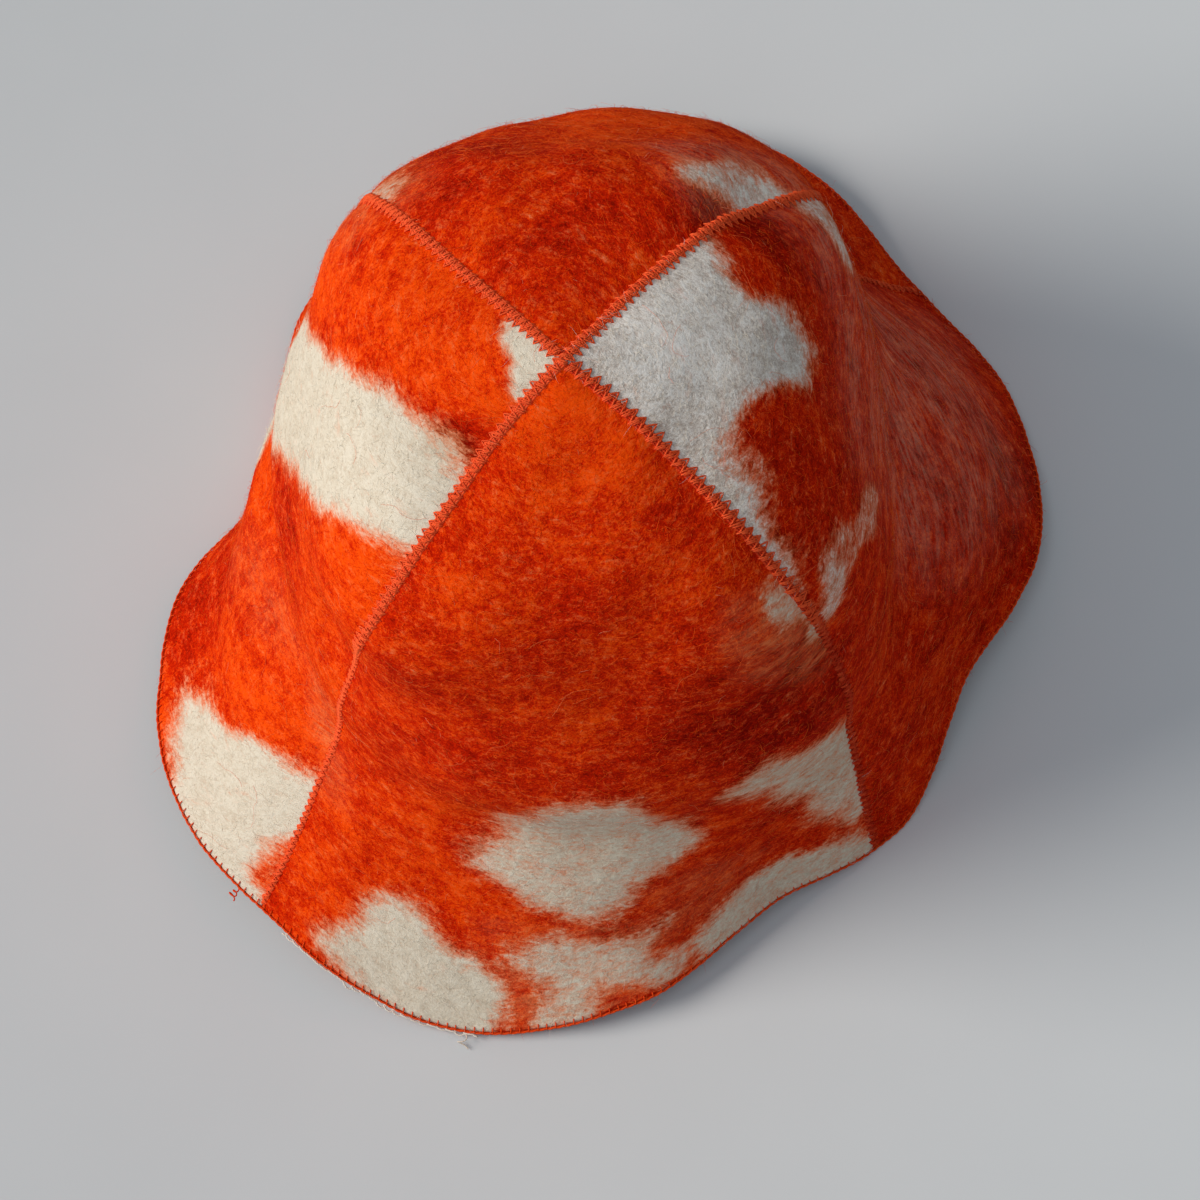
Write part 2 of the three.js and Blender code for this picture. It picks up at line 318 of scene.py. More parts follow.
# pale patches: width of the frayed border, how thickly the pale wool lies, and the corners in
# hundredths of the gore's width and of the way down
patches = {
    "left": [
        (2.2, 1, [(-30, 7.5), (50, -4), (130, 9), (75, 5.6), (50, 4.5), (25, 5.5)]),
        (6, 1, [(20, 48), (27, 42), (39, 30), (48, 23), (58, 18), (71, 15), (84, 14), (120, 14.5),
            (120, 23.5), (92, 25), (83, 27), (73, 33), (61, 44), (42, 55), (28, 60), (18, 57)]),
        (5, 1, [(66, 95), (70, 90), (75, 87), (83, 81.5), (110, 74), (110, 83), (99, 86), (96, 90),
            (97, 95), (110, 105), (80, 105), (76.5, 97.5), (70, 96.5)]),
        (5, 0.2, [(90, 86), (110, 86), (110, 93), (96, 98), (90, 95)]),
        (6, 1, [(-20, 70), (22, 74), (36, 83), (24, 93), (-20, 90)]),
    ],
    "front": [
        (7, 0.74, [(30, 75), (35, 67), (42, 58.5), (50, 54), (56, 55), (62, 65), (68, 72), (57, 77),
            (49, 83), (44, 81), (37, 77)]),
        (6, 1, [(9, 97.5), (13, 91), (17, 85), (21, 84), (35, 91.5), (36, 94), (34.5, 105), (21, 105),
            (17, 98), (11, 98)]),
        (7, 0.68, [(37, 88.5), (44, 84.5), (50, 88), (61, 86.5), (56.5, 91.5), (61.5, 98), (50, 94.5),
            (46, 105), (40, 105), (42, 94)]),
        (6, 0.74, [(64, 95), (68, 91.5), (78, 90.5), (85, 89.5), (110, 97), (110, 105), (72, 105)]),
        (4, 0.56, [(93, 31.5), (94.5, 30.2), (110, 32.5), (110, 41), (99, 41), (97, 36), (94.5, 33.5)]),
        (9, 0.68, [(74, 60), (82, 57.5), (89.4, 60), (95, 64), (115, 69), (115, 90), (96.7, 86), (92, 80),
            (87.8, 73), (81, 65)]),
    ],
    "right": [
        (5, 1, [(-35, 38), (-50, 15), (50, -6), (160, 7), (125, 16.5), (97, 17.5), (84, 18.5), (73, 19.5),
            (66, 26), (58, 28.5), (49, 26.5), (41, 22), (29, 17), (18, 17), (9.5, 22.5), (5.5, 27),
            (3, 30.5), (0, 34.5)]),
        (6, 0.56, [(1, 40), (4.5, 36), (8, 33.5), (11.5, 34), (11.5, 36), (6, 40.5)]),
        (6, 0.36, [(12, 34.5), (17, 34.5), (25, 40.5), (33.5, 48.5), (27, 47.5), (16, 39)]),
        (5, 0.6, [(120, 30), (95, 32), (87, 35.5), (83, 41), (91, 37.5), (120, 33.5)]),
    ],
    "back": [
        (5, 0.78, [(-20, 23), (7, 23.5), (17, 23), (13, 27), (6, 31), (-20, 37)]),
        (8, 0.5, [(95, 30), (120, 30), (120, 37), (96, 34.5)]),
        (5, 1, [(-10, 62), (10, 60), (26, 64), (40, 59), (52, 62), (46, 70), (30, 75), (14, 73),
            (-10, 78)]),
        (5, 1, [(58, 80), (74, 76), (90, 80), (97, 88), (84, 96), (66, 92)]),
    ],
}
# frosted places where pale hairs lie over the orange: width of the border, strength and corners
hazes = {
    "left": [
        (7, 0.45, [(86, 66), (95, 63), (110, 60), (110, 75), (95, 72)]),
        (9, 0.25, [(40, 80), (62, 69), (90, 62), (75, 71), (48, 84)]),
        (12, 0.45, [(-10, 28), (10, 30), (14, 46), (-10, 50)]),
    ],
    "front": [
        (7, 0.35, [(-10, 68), (4, 70), (6, 76), (-10, 80)]),
        (6, 0.44, [(81, 32.5), (85, 28), (93, 30), (110, 36), (110, 49), (94, 48), (82, 39)]),
        (9, 0.3, [(58, 80), (66, 78), (80, 84), (70, 90), (60, 88)]),
        (10, 0.45, [(34, 84), (48, 83), (62, 90), (52, 100), (36, 98)]),
    ],
    "right": [
        (18, 0.42, [(76, 33), (50, 35), (37, 42), (33, 56), (34, 72), (44, 82), (60, 92), (92, 94),
            (110, 74), (110, 40)]),
        (10, 0.4, [(78, 30), (110, 26), (110, 40), (80, 44)]),
    ],
    "back": [
        (12, 0.6, [(-10, 22), (16, 22), (32, 27), (22, 34), (-10, 40)]),
        (10, 0.6, [(90, 26), (110, 24), (110, 42), (92, 40)]),
        (16, 0.45, [(-10, 50), (60, 50), (60, 80), (-10, 82)]),
    ],
}

# waves along the borders of the patches: height, length across and down, start
borderWaves = [(1.5, 5.1, 9.0, 0), (1.1, 8.7, -4.3, 2), (0.7, 2.9, 3.7, 0)]


def insideBy(x, y, corners):
    # how far a flat place is inside an outline, negative outside
    across, level = np.array(corners).T / 100
    onGore = np.clip(level, 0, 1)
    cx, cy = flatPlace(across, onGore)
    cy = cy + (level - onGore) * downLengths[-1]
    best = np.full(x.shape, 1e9)
    inside = np.zeros(x.shape, bool)
    for k in range(len(cx)):
        ax, ay, bx, by = cx[k - 1], cy[k - 1], cx[k], cy[k]
        dx, dy = bx - ax, by - ay
        t = np.clip(((x - ax) * dx + (y - ay) * dy) / (dx * dx + dy * dy + 1e-9), 0, 1)
        best = np.minimum(best, np.hypot(x - ax - t * dx, y - ay - t * dy))
        crosses = (ay > y) != (by > y)
        inside ^= crosses & (x < ax + dx * (y - ay) / (dy if abs(dy) > 1e-9 else 1e-9))
    return np.where(inside, best, -best)


def blanket(panel, across, level):
    # pale: 0.5 on a patch's border, more inside. haze: how thickly pale hairs lie on the orange
    x, y = flatPlace(across, level)
    wobble = sum(tall * np.sin(x / wide + y / long + start) for tall, wide, long, start in borderWaves)
    pale = np.zeros(x.shape)
    for blend, fill, corners in patches[panel]:
        depth = 0.5 + (insideBy(x, y, corners) + wobble) / (2 * blend)
        pale = np.maximum(pale, np.clip(depth, 0, fill))
    haze = np.zeros(x.shape)
    for blend, strength, corners in hazes[panel]:
        depth = np.clip(0.5 + insideBy(x, y, corners) / (2 * blend), 0, 1)
        haze = np.maximum(haze, strength * depth * depth * (3 - 2 * depth))
    return pale, haze


def toneAndShadeOf(panel, across, level):
    # the gore's depth and the tints: painted shade and light added to the felt's tone
    x, y = flatPlace(across, level)
    tone = np.full(x.shape, gores[panel]["depth"])
    for middle, height, wide, change in shadeAndWoolTints[panel]:
        cx, cy = flatPlace(middle, height)
        tone = tone + change * np.exp(-((x - cx) ** 2 + (y - cy) ** 2) / wide**2)
    return tone


def napPlace(panel, across, level):
    # place on the cloth measured along and across the lie of the nap
    x, y = flatPlace(across, level)
    angle = math.radians(gores[panel]["napAngle"])
    along = x * math.cos(angle) + y * math.sin(angle)
    beside = y * math.cos(angle) - x * math.sin(angle)
    return np.column_stack([along, beside, np.full(len(x), gores[panel]["seed"] * 40.0)])


# materials
colours = {
    "orangeDeep": (0.23, 0.003, 0.0003),
    "orangeMid": (0.65, 0.015, 0.0006),
    "orangeLit": (0.99, 0.08, 0.0025),
    "peach": (0.88, 0.24, 0.075),
    "creamLit": (0.8, 0.705, 0.57),
    "creamMid": (0.715, 0.61, 0.475),
    "creamDim": (0.61, 0.5, 0.375),
    # cream and frost painted in the cool sky light of the shaded gores
    "coolLit": (1.0, 0.92, 0.85),
    "coolMid": (0.85, 0.745, 0.66),
    "coolDim": (0.54, 0.43, 0.36),
    "frost": (0.86, 0.32, 0.12),
    "coolFrost": (0.86, 0.42, 0.27),
    "hairDeep": (0.56, 0.014, 0.001),
    "hairMid": (0.86, 0.052, 0.003),
    "hairLit": (1.0, 0.17, 0.02),
    "hairCream": (0.86, 0.79, 0.67),
    "coral": (1.0, 0.128, 0.036),
    "coralDeep": (0.56, 0.018, 0.005),
    "hemLit": (0.9, 0.085, 0.012),
    "hemDeep": (0.62, 0.035, 0.005),
    "looper": (0.82, 0.73, 0.64),
    # the table's colours: painted darker on the lit left and lighter on the shaded right
    "tableLeft": (0.47, 0.485, 0.5),
    "tableRight": (0.84, 0.84, 0.84),
}


class Nodes:
    # short ways to add and join shader nodes
    def __init__(self, name):
        self.material = bpy.data.materials.new(name)
        self.material.use_nodes = True
        self.tree = self.material.node_tree
        self.shader = self.tree.nodes["Principled BSDF"]

    def link(self, source, target):
        self.tree.links.new(source, target)

    def add(self, kind, inputs=(), **settings):
        # a node and its inputs, each a value, the name of a colour or the output of another node
        node = self.tree.nodes.new(kind)
        for key, value in settings.items():
            setattr(node, key, value)
        for key, value in dict(inputs).items():
            if isinstance(value, bpy.types.NodeSocket):
                self.link(value, node.inputs[key])
            else:
                node.inputs[key].default_value = (*colours[value], 1) if isinstance(value, str) else value
        return node

    def attribute(self, name, output="Fac"):
        return self.add("ShaderNodeAttribute", attribute_name=name).outputs[output]

    def onObject(self):
        return self.add("ShaderNodeTexCoord").outputs["Object"]

    def split(self, vector):
        # the first two parts of a vector
        node = self.add("ShaderNodeSeparateXYZ", {"Vector": vector})
        return node.outputs["X"], node.outputs["Y"]

    def noise(self, vector, stretch, detail=2.0, roughness=0.5, turn=0, curl=0.0, scale=1.0):
        if turn:
            inputs = {"Vector": vector, "Angle": math.radians(turn)}
            vector = self.add("ShaderNodeVectorRotate", inputs, rotation_type="Z_AXIS").outputs["Vector"]
        mapping = self.add("ShaderNodeMapping", {"Vector": vector, "Scale": stretch})
        texture = self.add("ShaderNodeTexNoise", {
            "Vector": mapping.outputs["Vector"], "Scale": scale,
            "Detail": detail, "Roughness": roughness, "Distortion": curl})
        return texture.outputs["Fac"]

    def maths(self, operation, *values):
        return self.add("ShaderNodeMath", enumerate(values), operation=operation).outputs["Value"]

    def weigh(self, shares, start=0.0):
        # a sum of values, each times its weight
        total = start
        for value, weight in shares:
            total = self.maths("MULTIPLY_ADD", value, weight, total)
        return total

    def spread(self, value, low, high, to=(0.0, 1.0)):
        inputs = {"Value": value, "From Min": low, "From Max": high, "To Min": to[0], "To Max": to[1]}
        return self.add("ShaderNodeMapRange", inputs, interpolation_type="SMOOTHSTEP").outputs["Result"]

    def lines(self, value, width):
        # thin curling lines, drawn where a value passes its middle
        away = self.maths("ABSOLUTE", self.maths("SUBTRACT", value, 0.5))
        return self.spread(away, 0.0, width, (1.0, 0.0))

    def shades(self, value, places, names):
        # from one named colour to the next, each at its place
        node = self.add("ShaderNodeValToRGB", {"Fac": value})
        elements = node.color_ramp.elements
        while len(elements) < len(places):
            elements.new(0.5)
        for element, place, name in zip(elements, places, names):
            element.position = place
            element.color = (*colours[name], 1)
        return node.outputs["Color"]

    def mix(self, share, first, second):
        # inputs 6 and 7 are the two colours, output 2 the mixed one
        return self.add("ShaderNodeMix", {0: share, 6: first, 7: second}, data_type="RGBA").outputs[2]

    def bump(self, height, strength, distance):
        node = self.add("ShaderNodeBump", {"Height": height, "Strength": strength, "Distance": distance})
        self.link(node.outputs["Normal"], self.shader.inputs["Normal"])

    def finish(self, colour, roughness, specular):
        self.link(colour, self.shader.inputs["Base Color"])
        self.shader.inputs["Roughness"].default_value = roughness
        self.shader.inputs["Specular IOR Level"].default_value = specular
        return self.material


def feltMaterial():
    nodes = Nodes("feltWool")
    place = nodes.attribute("napPlace", "Vector")
    pale, haze, depth, paintedCoolLight = [nodes.attribute(name) for name in ("pale", "haze", "depth", "paintedCoolLight")]
    blotch = nodes.noise(place, (0.040, 0.048, 1), 2.0, 0.55)
    drift = nodes.noise(place, (0.030, 0.085, 1), 2.0, 0.55, -6, 0.5)
    cloud = nodes.noise(place, (0.17, 0.20, 1), 3.0, 0.6, 0, 0.4)
    tuft = nodes.noise(place, (0.60, 0.74, 1), 2.0, 0.6, 0, 0.8)
    fuzz = nodes.noise(place, (1.8, 2.2, 1), 2.0, 0.6, 0, 1.0)
    hair = nodes.maths("MAXIMUM", nodes.noise(place, (0.6, 3.0, 1), 1.5, 0.6, 24),
                       nodes.noise(place, (0.6, 3.0, 1), 1.5, 0.6, -40))
    strand = nodes.noise(place, (0.26, 0.66, 1), 2.0, 0.6, -8, 0.9)
    veil = nodes.noise(place, (0.15, 0.85, 1), 3.0, 0.65, 4, 0.6)
    curls = nodes.maths(
        "MAXIMUM",
        nodes.lines(nodes.noise(place, (0.55, 0.85, 1), 1.0, 0.5, 0, 0.6), 0.045),
        nodes.lines(nodes.noise(place, (0.75, 1.15, 1.3), 1.0, 0.5, 50, 0.6), 0.045))
    # orange mottled from deep to lit by the noise, with the painted shade and light of depth added
    tone = nodes.weigh([
        (blotch, 0.34), (cloud, 0.42), (tuft, 0.36), (fuzz, 0.40), (hair, 0.15), (curls, 0.075),
        (depth, 1.0)], -0.038)
    orange = nodes.shades(tone, (0.56, 0.765, 0.93), ("orangeDeep", "orangeMid", "orangeLit"))
    # cream mottled by the noise, with the painted shade and light of depth, and painted cooler and paler
    # on the shaded gores for the cool sky light there
    creamTone = nodes.weigh([
        (tuft, 0.36), (cloud, 0.40), (fuzz, 0.40), (hair, 0.34), (curls, 0.07), (depth, 0.9)], -0.190)
    stops = (0.42, 0.57, 0.69)
    warmCream = nodes.shades(creamTone, stops, ("creamDim", "creamMid", "creamLit"))
    coolCream = nodes.shades(creamTone, stops, ("coolDim", "coolMid", "coolLit"))
    cream = nodes.mix(paintedCoolLight, warmCream, coolCream)
    fleck = nodes.spread(nodes.noise(place, (0.09, 0.20, 1), 4.0, 0.7), 0.56, 0.76, (0.0, 0.30))
    cream = nodes.mix(fleck, cream, "peach")
    # frayed borders: orange, then peach where the wools mix, then cream
    fray = nodes.weigh([
        (pale, 1.0), (strand, 0.74), (hair, 0.12), (tuft, 0.40), (cloud, 0.60), (fuzz, 0.20),
        (curls, 0.07)], -1.055)
    streak = nodes.weigh([(veil, 1.0), (cloud, 0.35), (hair, 0.22), (fuzz, 0.12)])
    frostShare = nodes.maths("MULTIPLY", haze, nodes.spread(streak, 0.58, 1.20))
    frostShare = nodes.maths("MULTIPLY", frostShare, nodes.spread(drift, 0.36, 0.62, (0.45, 1.30)))
    # the frost is painted in the cool sky light on the shaded gores too
    frost = nodes.mix(paintedCoolLight, "frost", "coolFrost")
    base = nodes.mix(frostShare, orange, frost)
    base = nodes.mix(nodes.spread(fray, 0.0, 0.62, (0.0, 0.85)), base, "peach")
    base = nodes.mix(nodes.spread(fray, 0.20, 0.90), base, cream)
    height = nodes.weigh([(cloud, 0.9), (tuft, 0.48), (fuzz, 0.32), (hair, 0.16), (curls, 0.05)])
    nodes.bump(height, 0.6, 0.0009)
    return nodes.finish(base, 0.97, 0.02)


def napMaterial():
    nodes = Nodes("napWool")
    pale = nodes.attribute("pale")
    # the shade attribute also carries the painted highlight of the standing hairs
    shade = nodes.attribute("shade")
    wear = nodes.noise(nodes.onObject(), (1, 1, 1), scale=900.0)
    tone = nodes.weigh([(wear, 0.4), (shade, 0.8)])
    orange = nodes.shades(tone, (0.10, 0.55, 0.98), ("hairDeep", "hairMid", "hairLit"))
    cream = nodes.shades(tone, (0.10, 0.80), ("creamLit", "hairCream"))
    base = nodes.mix(nodes.spread(pale, 0.0, 0.5), orange, "peach")
    return nodes.finish(nodes.mix(nodes.spread(pale, 0.4, 1.0), base, cream), 0.9, 0.04)


plyLength = 0.9


def threadMaterial(name, light, deep):
    # twisted thread: a groove winds round it once in each ply length, bumped and painted darker, a painted
    # shade in the groove
    nodes = Nodes(name)
    travelled, turned = nodes.split(nodes.attribute("ply", "Vector"))
    turn = nodes.maths("MULTIPLY_ADD", travelled, 1 / plyLength, turned)
    groove = nodes.maths("SINE", nodes.maths("MULTIPLY", turn, 2 * math.pi))
    wear = nodes.noise(nodes.onObject(), (1, 1, 1), 3.0, scale=420.0)
    # the tone attribute: random for each stitch, with painted shade on some threads that lie lower and on
    # the lower parts of the right seams
    tone = nodes.weigh([(groove, 0.10), (wear, 0.35), (nodes.attribute("tone"), 0.75)])
    nodes.bump(groove, 0.5, 0.0001)
    return nodes.finish(nodes.shades(tone, (0.15, 0.80), (deep, light)), 0.8, 0.04)


woolFelt = feltMaterial()
woolNap = napMaterial()
coralThread = threadMaterial("coralThread", "coral", "coralDeep")
hemThread = threadMaterial("hemThread", "hemLit", "hemDeep")
paleThread = threadMaterial("paleThread", "looper", "creamDim")

# gores
goreCut = {
    "columns": 64,
    "rows": 96,
    "crowding": 0.8,  # how much closer the columns stand near the seams
    "apexRadius": 0.3,
    "seamGap": 0.15,
    "seamRise": (-0.28, -0.10),  # the felt dips towards the seams, less so lower down
    "seamRiseWidth": 4.2,
    "seamRoundness": 0.40,
    "hemRoundness": 1.1,
    "edgeRoundWidth": 0.7,
    "lowest": 0.3,  # above the table
    "hemLevels": (0.990, 0.994, 0.9975, 1.0),  # closer rows for the round edge
}
goreWidth = flatWidth(1.0)
goreLength = downLengths[-1]
widths = flatWidth(downTable)


def flatness(level):
    # 0 where a seam stands up on the crown, 1 where it lies flat lower down
    start, over = 0.30, 0.16
    share = np.clip((level - start) / over, 0, 1)
    return share * share * (3 - 2 * share)


def seamRise(level):
    high, low = goreCut["seamRise"]
    return high + (low - high) * flatness(level)


def goreLevels():
    first = np.interp(goreCut["apexRadius"], section(downTable, "radius"), downTable)
    even = np.linspace(first, 0.985, goreCut["rows"])
    return np.concatenate([even, goreCut["hemLevels"]])


def makeGore(panel):
    start = gores[panel]["start"]
    even = np.linspace(0, 1, goreCut["columns"] + 1)
    across = even - goreCut["crowding"] * np.sin(2 * math.pi * even) / (2 * math.pi)
    grid, depths = np.meshgrid(across, goreLevels())
    wide = flatWidth(depths)
    grid = np.clip(grid, goreCut["seamGap"] / wide, 1 - goreCut["seamGap"] / wide)
    toSeam = np.minimum(grid, 1 - grid) * wide
    toHem = (1 - depths) * goreLength
    rise = seamRise(depths) * np.exp(-((toSeam / goreCut["seamRiseWidth"]) ** 2))
    atSeam = goreCut["seamRoundness"] * np.exp(-((toSeam / goreCut["edgeRoundWidth"]) ** 2))
    atHem = goreCut["hemRoundness"] * np.exp(-(((toHem + 0.15) / goreCut["edgeRoundWidth"]) ** 2))
    rounded = np.maximum(atSeam, atHem)
    outer = felt(start + 90 * grid, depths, rise - rounded)[0]
    inner = felt(start + 90 * grid, depths, rounded - hat["feltThickness"])[0]
    points = np.concatenate([outer.reshape(-1, 3), inner.reshape(-1, 3)])
    points[:, 2] = np.maximum(points[:, 2], goreCut["lowest"])
    rows, columns = grid.shape
    index = np.arange(rows * columns).reshape(rows, columns)
    quads = np.stack([index[:-1, :-1], index[1:, :-1], index[1:, 1:], index[:-1, 1:]], -1).reshape(-1, 4)
    rim = np.concatenate([index[0, :-1], index[:-1, -1], index[-1, :0:-1], index[:0:-1, 0]])
    nextRim = np.roll(rim, -1)
    half = rows * columns
    sides = np.stack([rim, nextRim, nextRim + half, rim + half], -1)
    piece = newPiece("gore" + panel.capitalize(), points, [quads, quads[:, ::-1] + half, sides], woolFelt)
    tidy = bmesh.new()
    tidy.from_mesh(piece.data)
    bmesh.ops.recalc_face_normals(tidy, faces=tidy.faces)
    tidy.to_mesh(piece.data)
    tidy.free()
    spots = (grid.ravel(), depths.ravel())
    pale, haze = blanket(panel, *spots)
    # the share of painted cool sky light on the cream, across the gore
    paintedCoolLight = np.interp(spots[0], (0.3, 0.8), gores[panel]["paintedCoolLight"])
    # depth carries the painted shade and light of the gore and its tints
    for name, values in (("pale", pale), ("haze", haze), ("depth", toneAndShadeOf(panel, *spots)), ("paintedCoolLight", paintedCoolLight)):
        addAttribute(piece, name, np.tile(values, 2))  # alike on both faces
    # the inside shows another part of the noise
    places = napPlace(panel, *spots)
    addAttribute(piece, "napPlace", np.concatenate([places, places + (0, 0, 400)]), "FLOAT_VECTOR")
    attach(piece, "root")
    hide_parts("gore_" + panel)
    return piece


gorePieces = {panel: makeGore(panel) for panel in gores}
print("gores made")

# nap
nap = {
    "longHairs": 3300,  # on each gore
    "shortHairs": 10000,
    "looseHairs": 70,
    "longLength": (3.0, 6.5),
    "shortLength": (1.2, 3.0),
    "looseLength": (6.0, 20.0),
    "radius": 0.040,
    "spread": 70,  # degrees to either side of the lie
    "against": 0.3,  # share that lies the other way
    "bend": 0.30,  # sideways, as a share of the length
    "curl": 0.10,
    "height": (0.04, 0.34),
    "flyaways": 0.28,  # share that stands up
    "flyawayHeight": (0.4, 1.6),
    "looseHeight": (0.30, 0.22),  # middle and swing
    "levels": (0.012, 0.998),  # from apex to hem
    "strays": 0.012,  # share of pale hairs that strayed onto the orange
    "frosted": 0.15,  # more of them where the wool is frosted
    "strayPaleness": 0.55,
    "contrast": 2.2,  # between hairs of the patches and of the orange
    "uneven": 0.25,
    "turning": (0.30, 0.10),  # of loose hairs, at each step and on the whole
}


def hairMesh(paths, radii, outward):
    # three sided hairs that end in a point
    count, length = paths.shape[:2]
    points = tubes(paths, radii, outward, 3)[0]
    rings = points.reshape(count, length, 3, 3)[:, :-1].reshape(count, -1, 3)
    points = np.concatenate([rings, paths[:, -1:]], 1)
    a, b, c, tip = points.shape[1] - 1 + np.array([-3, -2, -1, 0])
    tips = np.array([(a, b, tip), (b, c, tip), (c, a, tip), (2, 1, 0)])
    starts = (np.arange(count) * points.shape[1])[:, None, None]
    quads = (ringFaces(length - 1, 3) + starts).reshape(-1, 4)
    return points.reshape(-1, 3), quads, (tips + starts).reshape(-1, 3)


def scatter(random, count):
    # places spread evenly over a gore
    area = section(downTable, "radius") * np.gradient(downLengths)
    level = np.interp(random.uniform(0, 1, count), np.cumsum(area) / area.sum(), downTable)
    return random.uniform(0.006, 0.994, count), np.clip(level, *nap["levels"])


def makeHairs(panel, random, count, lengths, steps):
    across, level = scatter(random, count)
    root, normal, right, low = felt(gores[panel]["start"] + 90 * across, level, -0.1)
    lie = np.radians(gores[panel]["napAngle"] + random.normal(0, nap["spread"], count))
    lie += np.where(random.uniform(size=count) < nap["against"], math.pi, 0)
    way = right * np.cos(lie)[:, None] + low * np.sin(lie)[:, None]
    aside = np.cross(normal, way)
    long = random.uniform(*lengths, count)
    stands = random.uniform(size=count) < nap["flyaways"]
    tall = np.where(
        stands, random.uniform(*nap["flyawayHeight"], count), random.uniform(*nap["height"], count))
    bend = random.normal(0, nap["bend"], count) * long
    curl = random.normal(0, nap["curl"], count) * long
    lift = np.where(stands[:, None], np.sin(steps * 2.0), np.sin(steps * 2.8))
    path = (
        root[:, None]
        + way[:, None] * (long[:, None] * steps)[..., None]
        + aside[:, None] * (bend[:, None] * steps**2 + curl[:, None] * np.sin(steps * 5))[..., None]
        + normal[:, None] * (tall[:, None] * lift)[..., None]
    )
    radii = (nap["radius"] * random.uniform(0.7, 1.3, count))[:, None] * np.linspace(1.0, 0.6, len(steps))
    points, quads, tips = hairMesh(path, radii, normal[:, None])
    pale, haze = blanket(panel, across, level)
    paleness = (pale - 0.5) * nap["contrast"] + 0.5 + random.normal(0, nap["uneven"], count)
    strays = random.uniform(size=count) < nap["strays"] + haze * nap["frosted"]
    paleness = np.where((paleness < 0.5) & strays, nap["strayPaleness"], np.clip(paleness, 0, 1))
    # tone of each hair: random, and a quarter lighter for the hairs that stand up, a painted highlight for
    # the pale halo along the outline
    return points, quads, tips, paleness, np.clip(random.uniform(0, 1, count) + 0.25 * stands, 0, 1)


def makeLooseHairs(panel, random, count, steps):
    # long curly hairs lying loose on the felt
    across, level = scatter(random, count)
    x, y = flatPlace(across, level)
    step, whole = nap["turning"]
    turns = np.cumsum(random.normal(0, step, (count, steps)) + random.normal(0, whole, (count, 1)), 1)
    heading = random.uniform(0, 2 * math.pi, (count, 1)) + turns
    stride = random.uniform(*nap["looseLength"], (count, 1)) / steps
    x = x[:, None] + np.cumsum(stride * np.cos(heading), 1)
    y = y[:, None] + np.cumsum(stride * np.sin(heading), 1)
    level = np.clip(np.interp(y, downLengths, downTable), *nap["levels"])
    across = np.clip(x / flatWidth(level) + 0.5, 0.004, 0.996)
    wave = np.sin(np.linspace(0, 1, steps) * 5 + random.uniform(0, 6, (count, 1)))
    middle, swing = nap["looseHeight"]
    path, normal, _, _ = felt(gores[panel]["start"] + 90 * across, level, middle + swing * wave)
    points, quads, tips = hairMesh(path, nap["radius"] * 0.9, normal)
    return points, quads, tips, random.uniform(0.15, 0.5, count), random.uniform(0.5, 1, count)


def makeNap(panel):
    random = np.random.default_rng(gores[panel]["seed"])
    counts = [nap["longHairs"], nap["shortHairs"], nap["looseHairs"]]
    groups = [
        makeHairs(panel, random, counts[0], nap["longLength"], np.array([0.0, 0.36, 0.72, 1.0])),
        makeHairs(panel, random, counts[1], nap["shortLength"], np.array([0.0, 0.5, 1.0])),
        makeLooseHairs(panel, random, counts[2], 15),
    ]
    piece = joinedPiece("nap" + panel.capitalize(), groups, woolNap)
    for name, k in (("pale", 3), ("shade", 4)):
        values = [np.repeat(group[k], len(group[0]) // len(group[k])) for group in groups]
        addAttribute(piece, name, np.concatenate(values))
    cellMap(piece, groups, counts)
    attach(piece, "root")
    return piece


def cellMap(piece, groups, counts):
    # every hair keeps a small square of the flat map to itself, shared out between its faces
    side = math.ceil(math.sqrt(sum(counts)))
    square = np.array([(0.1, 0.1), (0.9, 0.1), (0.9, 0.9), (0.1, 0.9)])
    spots = []
    for k, (_, quads, tips, _, _) in enumerate(groups):
        hair = np.arange(counts[k]) + sum(counts[:k])
        cell = np.stack([hair % side, hair // side], -1)[:, None, None]
        parts = math.ceil(math.sqrt((len(quads) + len(tips)) / counts[k]))
        used = 0
        for face in (quads, tips):
            slot = np.arange(len(face) // counts[k]) + used
            used += len(slot)
            inner = (np.stack([slot % parts, slot // parts], -1)[:, None] + square[:face.shape[1]]) / parts
            spots.append(((cell + inner) / side).reshape(-1, 2))
    layer = piece.data.uv_layers.new(name="OFBake")
    layer.data.foreach_set("uv", np.concatenate(spots).astype(np.float32).ravel())


napPieces = {panel: makeNap(panel) for panel in gores}
print("nap made:", sum(len(piece.data.polygons) for piece in napPieces.values()), "faces")

# stitches down the seams
seamStitch = {
    "thread": 0.25,  # radius
    "nearReach": 2.0,
    "farReach": 0.60,
    "ridge": (0.74, 0.46),  # height of the strands on the crown and lower down
    "endLevel": 0.992,
    "uneven": 0.12,  # how unevenly the stitches follow each other
    "toneSpread": 0.13,
    "toothSpread": (0.84, 1.14),  # shortest and longest share of the reach
    "strandSpread": (0.72, 1.14),
    "toothTip": 0.14,  # how far its tip lies down the seam, in pitches
    "slant": (0.06, 0.36),  # of the strands, in pitches
    "cores": [(-1.25, -0.06), (-0.6, 0.12), (0.05, 0.18), (0.65, 0.06)],  # across, height
    "coreRadius": 0.42,
    "coreTone": 0.78,
    "coreSink": 0.42,  # lower down
    "teeth": [(1.0, 0.80, 0.80), (0.62, 0.36, 0.72)],  # share of the reach, width of the base, tone
    # start, lift, tone, share of the reach
    "strands": [(-0.30, 0.0, 0.88, 1.0), (0.20, 0.04, 1.0, 0.92), (0.72, -0.04, 0.80, 0.84)],
    "returns": (-0.06, 0.74, 0.8),  # lift, tone, share of the reach
}
